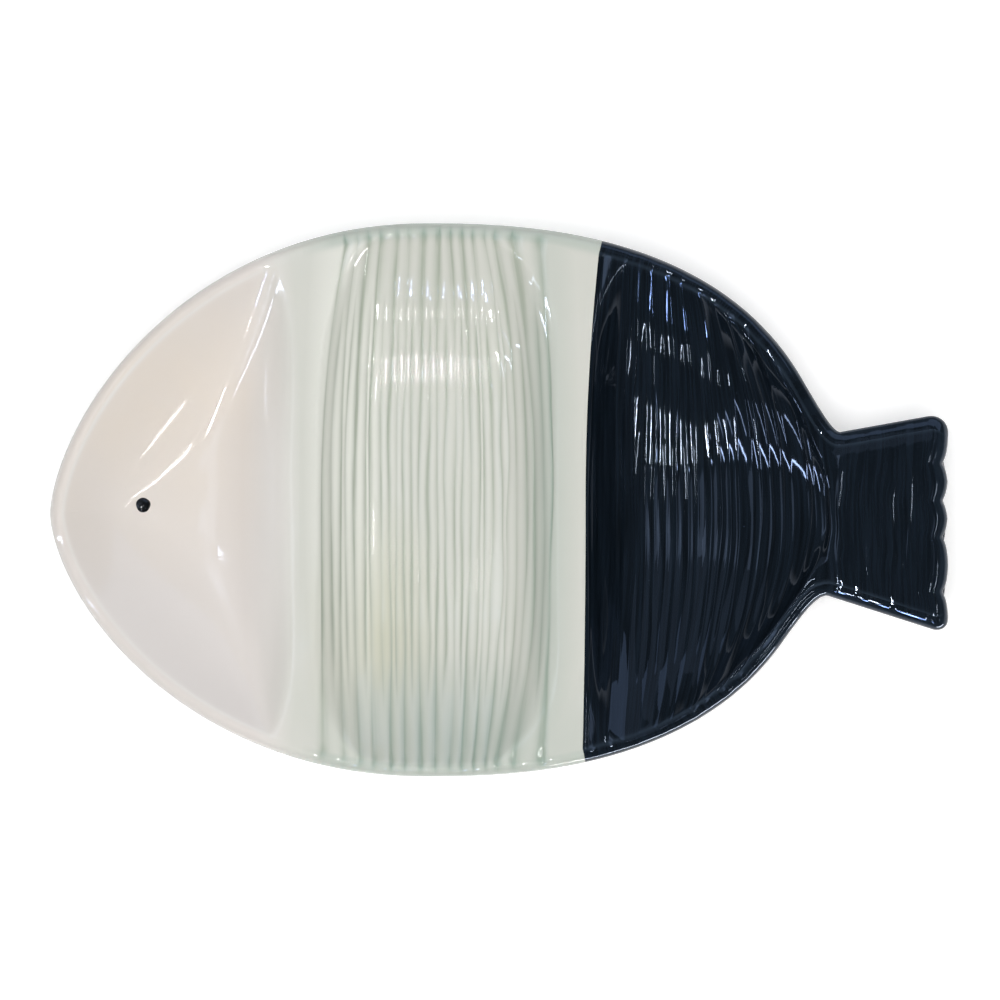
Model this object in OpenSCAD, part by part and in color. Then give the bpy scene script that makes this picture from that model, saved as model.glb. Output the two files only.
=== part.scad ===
// Divided serving platter in the outline of a fish: three bowls in a row and a tail fin to hold it by.
// One fired clay body carries three glaze coats, a drop of black glaze for the eye and a bare foot ring.
// X runs from the nose to the tail, Y from the belly to the back, Z up from the table. Millimetres.

/* [Overall] */
// Length from the nose to the end of the tail fin
fish_l = 380; // [340:1:440]
// Width from the back to the belly
fish_w = 234; // [200:1:270]
// Height of the rim above the table
rim_z = 36; // [32:0.5:44]

/* [Outline] */
// Nose tip below the centre line, towards the belly
nose_drop = 6; // [0:0.5:12]
// Widest place, measured from the nose
crown_in = 160; // [140:1:180]
// Exponent along the head: larger keeps the flanks full towards the nose
head_fall = 2.1; // [1.8:0.05:2.5]
// Exponent across the head: larger makes the nose blunter
head_round = 1.6; // [1.4:0.05:2]
// Exponent along the rear flanks
flank_fall = 2.35; // [2:0.05:2.7]
// Exponent across the rear flanks
flank_round = 3.8; // [3:0.1:4.5]
// How far the rear oval is carried past the centre line before it closes
flank_base = 100; // [60:1:140]
// Where the back's oval closes, behind the waist
back_over = 9; // [6:0.5:14]
// Where the belly's oval closes, behind the waist
belly_over = 6; // [4:0.5:12]
// Depth of the hollow blend where the body meets the fin
waist_blend = 26; // [10:1:32]

/* [Tail fin] */
// Length of the fin behind the waist
fin_l = 50; // [40:1:65]
// Waist edge above the centre line
waist_back = 28; // [22:0.5:36]
// Waist edge below the centre line
waist_belly = 41; // [34:0.5:48]
// Upper corner of the fin above the centre line
fin_back = 37; // [30:0.5:46]
// Lower corner of the fin below the centre line
fin_belly = 57; // [48:0.5:64]
// Fall of the middle line from the body to the fin
fin_drop = 8; // [4:0.5:12]
// Radius of the fin's two corners
corner_r = 9; // [6:0.5:11]
// Depth of the notches in the fin's end
notch_d = 1.8; // [0.8:0.1:2.6]
// Depth of the fin's dish
fin_dish = 3.2; // [2:0.1:4.5]
// Thickness of the fin from the rim's top to its underside
fin_t = 9; // [8:0.25:12]
// Width of the ridge that closes the rear bowl
ridge_w = 4; // [3:0.5:7]

/* [Rim] */
// Width of the rim from the outer edge to the inner crest
rim_w = 6; // [4.5:0.25:8]
// Rim's highest line, measured in from the outer edge
rim_top = 2; // [1.2:0.1:2.8]
// Fall of the rounded outer edge below the rim's top
rim_drop = 4.5; // [3:0.25:6]
// Fall of the inner crest below the rim's top
crest_dip = 0.6; // [0.2:0.1:1.2]

/* [Bowls] */
// Length of the head bowl, from the nose to the neck divider
head_l = 101; // [85:1:115]
// Width of the neck divider
neck_w = 12; // [8:0.5:18]
// Length of the middle bowl
mid_l = 101; // [80:1:120]
// Width of the hip divider
hip_w = 12.5; // [8:0.5:18]
// Lean of the hip divider towards the tail where it meets the back
hip_lean = 7; // [0:0.5:10]
// Thickness of the floor under the head bowl
head_t = 7.4; // [6:0.1:10]
// Thickness of the floor under the middle bowl
mid_t = 6.4; // [5.5:0.1:9]
// Thickness of the floor under the rear bowl
rear_t = 6.4; // [5.5:0.1:9]
// Slope of the head bowl's floor, up towards the nose
nose_slope = 0.22; // [0.1:0.01:0.28]
// Deepest place of the head bowl, measured from the nose
deep_in = 70; // [66:1:78]
// Wall run, from the crest down to the floor
wall_run = 75; // [55:1:84]
// Exponent of the wall's curve: larger makes it steeper at the rim
wall_curve = 2.2; // [1.8:0.05:2.5]
// Wall run beside the dividers
divider_run = 28; // [18:1:36]
// Wall run at the tail end of the rear bowl
end_run = 36; // [24:1:44]
// Fall of the dividers below the rim's crest
divider_dip = 2.5; // [1:0.1:4]

/* [Combing] */
// Grooves across the middle bowl
mid_n = 26; // [16:1:28]
// Grooves across the rear bowl
rear_n = 24; // [16:1:26]
// Grooves across the fin
fin_n = 8; // [5:1:10]
// Depth of the bowl grooves in the clay
comb_d = 1; // [0.5:0.1:1.4]
// Depth of the fin grooves in the clay
fin_comb_d = 0.7; // [0.4:0.1:1]
// Share of the rear grooves' spread that is even; the rest fans out towards the waist
fan_even = 0.72; // [0.6:0.02:0.9]

/* [Glaze] */
// Thickness of the coats
glaze_t = 0.6; // [0.4:0.05:0.8]
// Share of each groove that the glaze fills
pool = 0.35; // [0.1:0.05:0.5]
// Place on the outside wall where the coats stop, as a share of its run
glaze_line = 0.85; // [0.7:0.01:0.92]
// Where the white coat closes under the head bowl, behind the nose
head_close = 62; // [54:1:70]
// Where the navy coat closes under the rear bowl, ahead of the waist
rear_close = 30; // [22:1:38]

/* [Underside] */
// Height of the foot ring
foot_h = 4; // [2.5:0.25:5]
// Length of the foot ring
foot_l = 160; // [130:1:166]
// Width of the foot ring
foot_w = 96; // [70:1:100]
// Width of the bare standing band
foot_band = 6; // [4:0.5:9]
// Centre of the foot ring, behind the nose
foot_in = 170; // [165:1:176]
// Outside wall run, from the outer edge in to the flat base
under_run = 66; // [54:1:70]
// Exponent of the outside wall's curve: larger makes it steeper at the edge
under_curve = 1.9; // [1.7:0.05:2.2]
// Where the base starts to rise to the fin, ahead of the foot of the rear bowl's end wall
end_lead = 6; // [0:0.5:10]

/* [Eye] */
// Eye behind the nose
eye_in = 40; // [36:0.5:46]
// Eye below the centre line
eye_drop = 2.2; // [0:0.1:5]
// Diameter of the eye
eye_d = 6.3; // [4:0.1:8]
// Height of the eye's dome
eye_h = 1.2; // [0.6:0.1:1.8]

/* [Hidden] */

BACK = 1;
BELLY = -1;
nose_x = -fish_l / 2;
tail_x = fish_l / 2;
crown_x = nose_x + crown_in;
waist_x = tail_x - fin_l;
eye_x = nose_x + eye_in;
neck_x = nose_x + head_l;
mid_x = neck_x + neck_w;
hip_x = mid_x + mid_l;
rear_x = hip_x + hip_w;
ridge_x = waist_x - ridge_w / 2;
fin_x = waist_x + ridge_w / 2;
lip_x = tail_x - rim_w;
deep_x = nose_x + deep_in;
open_x = nose_x + head_close;
close_x = waist_x - rear_close;
crest_z = rim_z - crest_dip;
edge_z = rim_z - rim_drop;
fin_z = rim_z - fin_t;
base_rise = end_run + ridge_w + end_lead;
head_d = crest_z - foot_h - head_t;
mid_d = crest_z - foot_h - mid_t;
rear_d = crest_z - foot_h - rear_t;
head_n = 12;
wall_p = 3;
fan_p = 6;
slope_step = 0.5;
flat_share = 0.2;
floor_blend = 20;
outside_share = 0.4;
closing_share = 0.68;
base_share = 0.7;
close_l = 45;
under_end = 0.6;
fin_under_run = 6;
fin_blend = 20;
foot_points = 96;
dome_points = 8;

function mix(a, b, t) = a + (b - a) * t;
function clamp01(t) = min(1, max(0, t));
function ease(a, b, x) = let (t = clamp01((x - a) / (b - a))) t * t * (3 - 2 * t);
function smooth_max(a, b, k) = max(a, b) + pow(max(0, k - abs(a - b)), 2) / (4 * k);

// Outline: distance from the centre line to the edge at x, on the back or on the belly.
function nose_out(side) = -side * nose_drop;
function head_out(x, side) =
    let (u = clamp01((crown_x - x) / crown_in))
    mix(nose_out(side), fish_w / 2, pow(1 - pow(u, head_fall), 1 / head_round));
function flank_out(x, side) =
    let (over = side == BACK ? back_over : belly_over)
    let (u = clamp01((x - crown_x) / (waist_x + over - crown_x)))
    mix(-flank_base, fish_w / 2, pow(1 - pow(u, flank_fall), 1 / flank_round));
function fin_out(x, side) =
    let (root = side == BACK ? waist_back : waist_belly)
    let (tip = side == BACK ? fin_back : fin_belly)
    mix(root, tip, (x - waist_x) / fin_l) - corner_cut(x - tail_x);
function corner_cut(d) =
    let (t = min(sqrt(0.5), max(0, d / corner_r + 1)))
    corner_r * (1 - sqrt(1 - t * t));
function edge_out(x, side) =
    x < crown_x ? head_out(x, side) : smooth_max(flank_out(x, side), fin_out(x, side), waist_blend);
function edge_slope(x, side) =
    let (a = max(nose_x, x - slope_step), b = x + slope_step)
    (edge_out(b, side) - edge_out(a, side)) / (b - a);
function spine_out(x, side) =
    side * (-eye_drop * (1 - ease(eye_x, neck_x, x)) - fin_drop * ease(rear_x, fin_x, x));

// Columns run from the back to the belly: place on the middle line, on the back, on the belly, and groove depth.
function fan(t) = fan_even * t + (1 - fan_even) * pow(t, fan_p);
function steps(n) = [for (i = [1:n]) i / n];
function groove(t, n, depth) = round(t * n * 2) % 2 == 1 ? depth : 0;
head_columns = [for (t = concat([0], steps(head_n)))
    [mix(eye_x, neck_x, t * t), mix(nose_x, neck_x, t * t), mix(nose_x, neck_x, t * t), 0]];
neck_columns = [for (t = steps(2)) let (x = mix(neck_x, mid_x, t)) [x, x, x, 0]];
mid_columns = [for (t = steps(2 * mid_n))
    let (x = mix(mid_x, hip_x, t))
    [x, x, x, groove(t, mid_n, comb_d)]];
hip_columns = [for (t = steps(2)) let (x = mix(hip_x, rear_x, t)) [x, x + hip_lean * t, x, 0]];
rear_columns = [for (t = steps(2 * rear_n))
    [mix(rear_x, ridge_x, t), mix(rear_x + hip_lean, waist_x, fan(t)), mix(rear_x, ridge_x, fan(t)),
     groove(t, rear_n, comb_d)]];
fin_columns = [for (t = concat([0], steps(2 * fin_n)))
    let (x = mix(fin_x, lip_x, t))
    [x, x + ridge_w / 2 * (1 - t), x, groove(t, fin_n, fin_comb_d)]];
lip_columns = [for (x = [tail_x - rim_top, tail_x]) [x, x, x, 0]];
columns = concat(head_columns, neck_columns, mid_columns, hip_columns, rear_columns, fin_columns, lip_columns);

NECK = head_n;
HIP = NECK + 2 * mid_n + 4;
END = len(columns) - 1;
OPEN = round(sqrt((open_x - eye_x) / (neck_x - eye_x)) * head_n);
CLOSE = HIP + round((close_x - rear_x) / (ridge_x - rear_x) * 2 * rear_n);

// Rows go from the glaze line under the back, over the rim and the bowl, to the glaze line under the belly.
LINE = 0;
OUTSIDE = 1;
EDGE = 2;
TOP = 3;
CREST = 4;
SPINE = 8;
ROWS = 16;
run_shares = [0, 0, 0, 0, 0, 0.2, 0.55, 1, 1];
fin_shares = [1, 1, 1, 1, 1, 0.69, 0.46, 0.23, 0];
function side_of(row) = row <= SPINE ? BACK : BELLY;
function half_row(row) = row <= SPINE ? row : ROWS - row;

function wall_near(q) =
    q <= neck_x ? clamp01(1 - (neck_x - q) / divider_run) :
    q < mid_x ? 1 :
    q <= hip_x ? max(0, 1 - min(q - mid_x, hip_x - q) / divider_run) :
    q < rear_x ? 1 :
    q <= ridge_x ? max(0, 1 - (q - rear_x) / divider_run, 1 - (ridge_x - q) / end_run) :
    q < fin_x ? 1 :
    q <= lip_x ? max(0, 1 - min(q - fin_x, lip_x - q) / rim_w) : 1;
function nose_rise(x) = nose_slope * smooth_max(0, deep_x - x, floor_blend);
function bowl_depth(q, x) =
    q < mid_x ? head_d - nose_rise(x) : q < rear_x ? mid_d : q < fin_x ? rear_d : fin_dish;
function dip_of(q) = q < ridge_x ? divider_dip : 0;
function fin_share(q) = ease(ridge_x - fin_blend, fin_x + ridge_w, q);
function run_of(q) = mix(wall_run, rim_w, ease(ridge_x - ridge_w, fin_x, q));
function bowl_z(q, x, edge_near, near) =
    let (flank = pow(edge_near, wall_curve / 2))
    let (reach = min(1, pow(pow(flank, wall_p) + pow(near, wall_p), 1 / wall_p)))
    crest_z - bowl_depth(q, x) * (1 - reach * reach)
        - dip_of(q) * near * near * (1 - flank * flank);
function base_z(q, x) =
    mix(foot_h + nose_rise(x), fin_z, pow(clamp01(1 - (fin_x - q) / base_rise), 2));
function under_z(q, x, edge_near) = mix(base_z(q, x), edge_z, pow(edge_near, under_curve));
function under_run_of(q) = mix(under_run, fin_under_run, ease(close_x, fin_x, q));
function notch_cut(row) = row % 2 == 1 ? notch_d : 0;

// A point on a column, at share g of the way from the middle line to the edge point.
function along(q, middle, edge, g) =
    let (bend = 1 + clamp01((q - eye_x) / (neck_x - eye_x)))
    [q + (edge[0] - q) * pow(g, bend), mix(middle, edge[1], g)];

function column_parts(c, side) =
    let (q = c[0], x = side == BACK ? c[1] : c[2])
    let (slope = edge_slope(x, side), size = sqrt(1 + slope * slope))
    let (level = ease(waist_x, tail_x, x))
    let (inward = x <= nose_x ? [1, 0] : [mix(slope / size, 0, level), mix(-1 / size, -1, level)])
    let (edge = [x, edge_out(x, side)], middle = spine_out(q, side))
    let (crest = edge + inward * rim_w)
    [edge, inward, crest, middle, norm(crest - [q, middle]), norm(edge - [q, middle])];

function top_point(c, row, deep) =
    let (side = side_of(row), h = half_row(row), q = c[0], p = column_parts(c, side))
    let (last = q >= tail_x, skin = deep ? glaze_t : 0)
    let (run = min(run_of(q), (1 - flat_share) * p[4]))
    let (wall_g = 1 - run_shares[h] * run / p[4])
    let (g = h == SPINE ? 0 : mix(wall_g, fin_shares[h], fin_share(q)))
    let (xy = h == EDGE ? p[0] + p[1] * skin :
              h == TOP ? p[0] + p[1] * rim_top : along(q, p[3], p[2], g))
    let (edge_near = clamp01(1 - (1 - g) * p[4] / run))
    let (cut = h > CREST ? 1 : h == CREST ? 0.5 : 0)
    let (comb = c[3] * cut * (deep ? 1 : 1 - pool))
    let (z = last || h == EDGE ? edge_z :
             q > lip_x || h == TOP ? rim_z - skin : bowl_z(q, xy[0], edge_near, wall_near(q)) - comb - skin)
    let (end = ease(fin_x, tail_x, q))
    let (round_cut = h < CREST ? corner_cut(0) * (CREST - h) / (CREST - EDGE) : 0)
    let (back_off = end * (h > CREST ? notch_cut(h) : round_cut) + (last ? skin : 0))
    [xy[0] - back_off, side * xy[1], z];

function openness(q) =
    let (ahead = clamp01((columns[OPEN][0] + close_l - q) / close_l))
    let (behind = clamp01((q - columns[CLOSE][0] + close_l) / close_l))
    sqrt(1 - ahead * ahead) * sqrt(1 - behind * behind);
function under_reach(c, side) =
    let (p = column_parts(c, side))
    min(under_run_of(c[0]), (1 - flat_share) * p[5]) / p[5];
function line_at(c, side) = (1 - glaze_line * under_reach(c, side)) * openness(c[0]);
function outside_at(c, side) =
    1 - mix(closing_share, outside_share, openness(c[0])) * under_reach(c, side);
function under_point(c, side, g, deep) =
    let (q = c[0], p = column_parts(c, side))
    let (xy = along(q, p[3], p[0], g))
    let (edge_near = clamp01(1 - (1 - g) / under_reach(c, side)))
    let (tuck = (1 - under_end) * max(0, xy[0] - lip_x) + (q >= tail_x && deep ? glaze_t : 0))
    [xy[0] - tuck, side * xy[1], under_z(q, xy[0], edge_near) - (deep ? 0 : glaze_t)];

function skin_point(c, row, deep) =
    let (side = side_of(row), h = half_row(row))
    h == LINE ? under_point(c, side, line_at(c, side), deep) :
    h == OUTSIDE ? under_point(c, side, outside_at(c, side), deep) : top_point(c, row, deep);

glaze_grid = [for (c = columns) for (row = [0:ROWS]) skin_point(c, row, false)];
clay_grid = [for (c = columns) for (row = [0:ROWS]) skin_point(c, row, true)];

// Base under the clay, inside the glaze line: edge of the flat, middle line, edge of the flat.
function base_at(c, side) = min(1 - under_reach(c, side), base_share * line_at(c, side));
base_grid = [for (k = [OPEN:CLOSE]) let (c = columns[k])
    each [under_point(c, BACK, base_at(c, BACK), true), under_point(c, BACK, 0, true),
          under_point(c, BELLY, base_at(c, BELLY), true)]];

function at(k, row) = k * (ROWS + 1) + row;
function flip(face) = [face[2], face[1], face[0]];
function shift(faces, n) = [for (f = faces) [for (v = f) v + n]];
function quad(a, b, c, d) = [[a, b, c], [a, c, d]];
function sheet(k0, k1) = [for (k = [k0:k1 - 1]) for (row = [0:ROWS - 1])
    each quad(at(k, row), at(k + 1, row), at(k + 1, row + 1), at(k, row + 1))];
function end_cap() =
    let (u = at(END, OUTSIDE), m = at(END, LINE), l = at(END, ROWS - OUTSIDE))
    let (turn = SPINE - CREST + EDGE)
    concat([for (r = [EDGE:turn - 1]) [u, at(END, r), at(END, r + 1)]],
           [[u, at(END, turn), m]],
           [for (r = [turn:ROWS - turn - 1]) [m, at(END, r), at(END, r + 1)]],
           [[m, at(END, ROWS - turn), l]],
           [for (r = [ROWS - turn:ROWS - EDGE - 1]) [l, at(END, r), at(END, r + 1)]]);

module coat(k0, k1) {
    deep = len(glaze_grid);
    skin = k1 == END ? concat(sheet(k0, k1), [for (f = end_cap()) flip(f)]) : sheet(k0, k1);
    edges = [for (k = [max(k0, OPEN):min(k1, CLOSE) - 1]) for (row = [0, ROWS])
        each [for (f = quad(at(k, row), at(k, row) + deep, at(k + 1, row) + deep, at(k + 1, row)))
            row == 0 ? f : flip(f)]];
    ends = [for (k = k0 == 0 ? [k1] : k1 == END ? [k0] : [k0, k1]) for (row = [0:ROWS - 1])
        each [for (f = quad(at(k, row), at(k, row + 1), at(k, row + 1) + deep, at(k, row) + deep))
            k == k0 ? f : flip(f)]];
    polyhedron(concat(glaze_grid, clay_grid),
        concat(skin, [for (f = shift(skin, deep)) flip(f)], edges, ends));
}

module clay_body() {
    deep = len(clay_grid);
    top = concat(sheet(0, END), [for (f = end_cap()) flip(f)]);
    span = CLOSE - OPEN;
    lanes = [for (k = [0:span]) let (b = deep + 3 * k)
        [at(OPEN + k, LINE), b, b + 1, b + 2, at(OPEN + k, ROWS)]];
    base = [for (k = [0:span - 1]) for (i = [0:3])
        let (a = lanes[k], b = lanes[k + 1])
        each k == 0 ? [[a[0], b[i + 1], b[i]]] :
            k == span - 1 ? [[a[i], a[i + 1], b[0]]] : quad(a[i], a[i + 1], b[i + 1], b[i])];
    color("#CDBFA8") polyhedron(concat(clay_grid, base_grid), concat(top, base));
}

module foot_ring() {
    oval = [for (i = [0:foot_points - 1]) let (a = 360 * i / foot_points) [cos(a), sin(a)]];
    color("#BFA98C") translate([nose_x + foot_in, 0, 0]) linear_extrude(foot_h) difference() {
        polygon([for (p = oval) [p[0] * foot_l / 2, p[1] * foot_w / 2]]);
        polygon([for (p = oval) [p[0] * (foot_l / 2 - foot_band), p[1] * (foot_w / 2 - foot_band)]]);
    }
}

module head_glaze() {
    color("#DEDAD5") coat(0, NECK);
}

module middle_glaze() {
    color("#C9D2CA") coat(NECK, HIP);
}

module tail_glaze() {
    color("#18222F") coat(HIP, END);
}

module eye_spot() {
    dome = [for (i = [0:dome_points]) let (a = 90 * i / dome_points) [eye_d / 2 * cos(a), eye_h * sin(a)]];
    color("#0B0C0E") translate([eye_x, -eye_drop, crest_z - head_d + nose_rise(eye_x)])
        rotate([0, atan(nose_slope), 0]) rotate_extrude() polygon(concat([[0, 0]], dome));
}

clay_body();
foot_ring();
head_glaze();
middle_glaze();
tail_glaze();
eye_spot();
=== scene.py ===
import math

import bmesh
import bpy
import numpy as np
from mathutils import Matrix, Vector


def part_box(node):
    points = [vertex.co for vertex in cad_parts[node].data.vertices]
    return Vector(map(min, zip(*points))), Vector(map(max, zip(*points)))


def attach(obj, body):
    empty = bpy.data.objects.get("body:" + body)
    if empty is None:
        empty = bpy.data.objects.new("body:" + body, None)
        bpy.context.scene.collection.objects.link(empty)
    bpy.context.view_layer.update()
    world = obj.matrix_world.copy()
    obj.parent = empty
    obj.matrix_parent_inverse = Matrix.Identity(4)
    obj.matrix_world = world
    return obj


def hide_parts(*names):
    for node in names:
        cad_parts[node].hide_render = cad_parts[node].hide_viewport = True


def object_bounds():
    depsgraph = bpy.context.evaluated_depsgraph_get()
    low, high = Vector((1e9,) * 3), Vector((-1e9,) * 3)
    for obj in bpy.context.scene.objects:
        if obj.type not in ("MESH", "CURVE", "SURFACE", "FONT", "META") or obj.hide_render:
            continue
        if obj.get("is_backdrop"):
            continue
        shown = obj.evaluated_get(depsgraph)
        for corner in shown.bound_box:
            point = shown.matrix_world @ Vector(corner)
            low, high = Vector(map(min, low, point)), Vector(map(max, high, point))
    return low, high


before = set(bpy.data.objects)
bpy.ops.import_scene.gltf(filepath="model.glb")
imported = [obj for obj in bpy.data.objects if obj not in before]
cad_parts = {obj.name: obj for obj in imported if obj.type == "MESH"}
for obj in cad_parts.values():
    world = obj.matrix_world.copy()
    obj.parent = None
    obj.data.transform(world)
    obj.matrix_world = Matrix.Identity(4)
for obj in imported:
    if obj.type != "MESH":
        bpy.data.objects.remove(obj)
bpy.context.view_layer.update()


# Clay body: one slab of cream stoneware pressed over a plaster mould, so that the rim, the three bowls,
# the two dividers and the tail fin are one piece. Only the base shows, inside the line where the coloured
# glazes end, and it has a thin clear glaze of its own.
MM = 0.001
low, high = (np.array(corner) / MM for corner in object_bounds())
NOSE, TAIL, HALF_WIDTH, RIM_TOP = low[0], high[0], high[1], high[2]

# Outline, in millimetres from the nose, the tail or the middle line.
NOSE_DROP, CROWN_IN, HEAD_FALL, HEAD_ROUND = 6, 160, 2.1, 1.6
FLANK_FALL, FLANK_ROUND, FLANK_BASE, WAIST_BLEND = 2.35, 3.8, 100, 26
FIN_LENGTH, FIN_DROP = 50, 8
OVER_WAIST = {1: 9, -1: 6}
FIN_ROOT = {1: 28, -1: 41}
FIN_TIP = {1: 37, -1: 57}
FIN_CORNER = {1: 9, -1: 7}
CROWN, WAIST = NOSE + CROWN_IN, TAIL - FIN_LENGTH

# Stations along the middle line: the eye, the two dividers, the ridge at the root of the fin.
HEAD_LENGTH, NECK_WIDTH, HIP_WIDTH, HIP_LEAN, RIDGE_WIDTH = 101, 12, 12.5, 7, 4
eye_low, eye_high = (np.array(corner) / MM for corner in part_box("eye_spot"))
middle_high = np.array(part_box("middle_glaze")[1]) / MM
EYE, EYE_Y = (eye_low[:2] + eye_high[:2]) / 2
NECK = NOSE + HEAD_LENGTH
MIDDLE = NECK + NECK_WIDTH
REAR = middle_high[0] - HIP_LEAN
HIP = REAR - HIP_WIDTH
RIDGE, FIN = WAIST - RIDGE_WIDTH / 2, WAIST + RIDGE_WIDTH / 2
FIN_BLEND = RIDGE - 12, FIN + 4

# Rim, bowls and underside.
RIM_WIDTH, RIM_ROUND, RIM_BAND_SOFT, EDGE_DROP, CREST_DIP = 6, 3.8, 2, 4.5, 0.6
EDGE_Z, CREST_Z = RIM_TOP - EDGE_DROP, RIM_TOP - CREST_DIP
SAG, FIN_SAG, SAG_RUN = 3.1, 0.8, 60
CREST_SOFT, SHOULDER_SOFT, RIDGE_SOFT, SOFT_RUN = 1.2, 4.5, 14, 30
HEAD_DEPTH, BOWL_DEPTH, FIN_ROUND, FIN_ROLL_RUN = 24, 25, 5.6, 6.5
FIN_ROLL = {1: 1.6, -1: 0.5}
WALL_RUN, REAR_WALL_RUN, WALL_CURVE, WALL_SHARE, RUN_BLEND, CORNER_POWER = 75, 110, 2.2, 0.8, 12, 3
DIVIDER_RUN, NECK_RUN, NECK_END_RUN, END_RUN = 28, 44, 9, 60
NOSE_SLOPE, FLOOR_BLEND, DEEP = 0.22, 28, NOSE + 70
FOOT_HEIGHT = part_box("foot_ring")[1][2] / MM
UNDER_ROUND, UNDER_TURN, UNDER_RUN, UNDER_BLEND, UNDER_CURVE = 2.0, 52, 66, 8, 1.9
FIN_UNDER, FIN_UNDER_RUN, BASE_RISE = 27, 6, 46

# Glaze: its thickness, the line on the underside where it ends, where it runs thin over the rim, and how far
# the clay lies inside it.
GLAZE, GLAZE_LINE, LINE_OPEN, LINE_CLOSE, LINE_TURN = 0.6, 0.85, NOSE + 62, WAIST - 30, 45
THIN_PLACE, THIN_WIDTH, GLAZE_FADE = RIM_WIDTH - 0.3, 0.9, 6
CLAY_INSET, CLAY_SINK, CLAY_TUCK = 1.1, 1.9, 0.3

# End of the fin: how far in it is rounded, and the notches that cut it back.
LIP_END, LIP_SHUT = 5, 0.995
NOTCHES, NOTCH_DEPTH, NOTCH_WIDTH, NOTCH_RUN = (15.5, -0.4, -15.8, -39), 2.6, 4.2, 16


def mix(a, b, share):
    return a + (b - a) * share


def ease(a, b, x):
    t = np.clip((x - a) / (b - a), 0, 1)
    return t * t * (3 - 2 * t)


def soft_min(a, b, blend):
    return np.minimum(a, b) - np.maximum(0, blend - np.abs(a - b)) ** 2 / (4 * blend)


def half_width(x, side):
    """Distance from the middle line to the edge, on the back (side 1) or the belly (side -1)."""
    u = np.clip((CROWN - x) / CROWN_IN, 0, 1)
    head = mix(-side * NOSE_DROP, HALF_WIDTH, (1 - u ** HEAD_FALL) ** (1 / HEAD_ROUND))
    u = np.clip((x - CROWN) / (WAIST + OVER_WAIST[side] - CROWN), 0, 1)
    flank = mix(-FLANK_BASE, HALF_WIDTH, (1 - u ** FLANK_FALL) ** (1 / FLANK_ROUND))
    turn = np.clip((x - TAIL) / FIN_CORNER[side] + 1, 0, 1)
    corner = FIN_CORNER[side] * (1 - np.sqrt(1 - turn * turn))
    fin = mix(FIN_ROOT[side], FIN_TIP[side], (x - WAIST) / FIN_LENGTH) - corner
    return np.where(x < CROWN, head, -soft_min(-flank, -fin, WAIST_BLEND))


def middle_line(q):
    return EYE_Y * (1 - ease(EYE, NECK, q)) - FIN_DROP * ease(REAR, FIN, q)


def wall_near(q, flank):
    """1 on the shoulders of the dividers and ridges, more on top of them, 0 out on the bowls' floors."""
    head_run = mix(NECK_RUN, NECK_END_RUN, np.clip(flank, 0, 1))
    neck = 1 + np.minimum((q - NECK) / head_run, (MIDDLE - q) / DIVIDER_RUN)
    hip = 1 + np.minimum(q - HIP, REAR - q) / DIVIDER_RUN
    ridge = 1 + np.where(q < RIDGE, (q - RIDGE) / END_RUN, np.minimum(q - RIDGE, FIN - q) / RIM_WIDTH)
    lip = 1 + (q - TAIL + RIM_WIDTH) / RIM_WIDTH
    return np.maximum(0, np.max([neck, hip, ridge, lip], axis=0))


def nose_rise(x):
    return -NOSE_SLOPE * soft_min(0, x - DEEP, FLOOR_BLEND)


def top_height(q, x, inside, edge_near, side):
    """Height of the rim, dividers and bowls, without the comb, at a distance inside the edge."""
    flank = np.maximum(0, edge_near) ** (WALL_CURVE / 2)
    near = wall_near(q, flank)
    depth = np.where(q < MIDDLE - NECK_WIDTH / 2, HEAD_DEPTH - nose_rise(x), BOWL_DEPTH)
    reach = (flank ** CORNER_POWER + near ** CORNER_POWER) ** (1 / CORNER_POWER)
    bowl = np.where(q < WAIST, CREST_Z - depth * (1 - reach ** 2), RIM_TOP + RIDGE_SOFT)
    sag = mix(SAG, FIN_SAG, ease(REAR, RIDGE, q))
    ceiling = RIM_TOP - sag * (1 - np.exp(-((inside - rim_round(q)) / SAG_RUN) ** 2))
    ceiling = ceiling - roll(q, inside, side)
    shoulder = mix(SHOULDER_SOFT, RIDGE_SOFT, ease(HIP, RIDGE, q))
    return soft_min(bowl, ceiling, mix(CREST_SOFT, shoulder, ease(RIM_WIDTH, SOFT_RUN, inside)))


def rim_round(q):
    """How far in the outer edge is rounded over: a tight lip round the bowls, a broad one round the fin."""
    return mix(RIM_ROUND, FIN_ROUND, ease(*FIN_BLEND, q))


def roll(q, inside, side):
    """How far the broad edge of the fin hangs below its flat."""
    return FIN_ROLL[side] * ease(*FIN_BLEND, q) * np.exp(-(inside / FIN_ROLL_RUN) ** 2)


def notches(y):
    """How far the end of the fin is cut back where the strokes run out over it."""
    nearest = np.min([np.abs(y - place) for place in NOTCHES], axis=0)
    return NOTCH_DEPTH * np.exp(-nearest / NOTCH_WIDTH)


SLOPE_STEP, LEAST_LEAN = 0.5, 0.6


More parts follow.
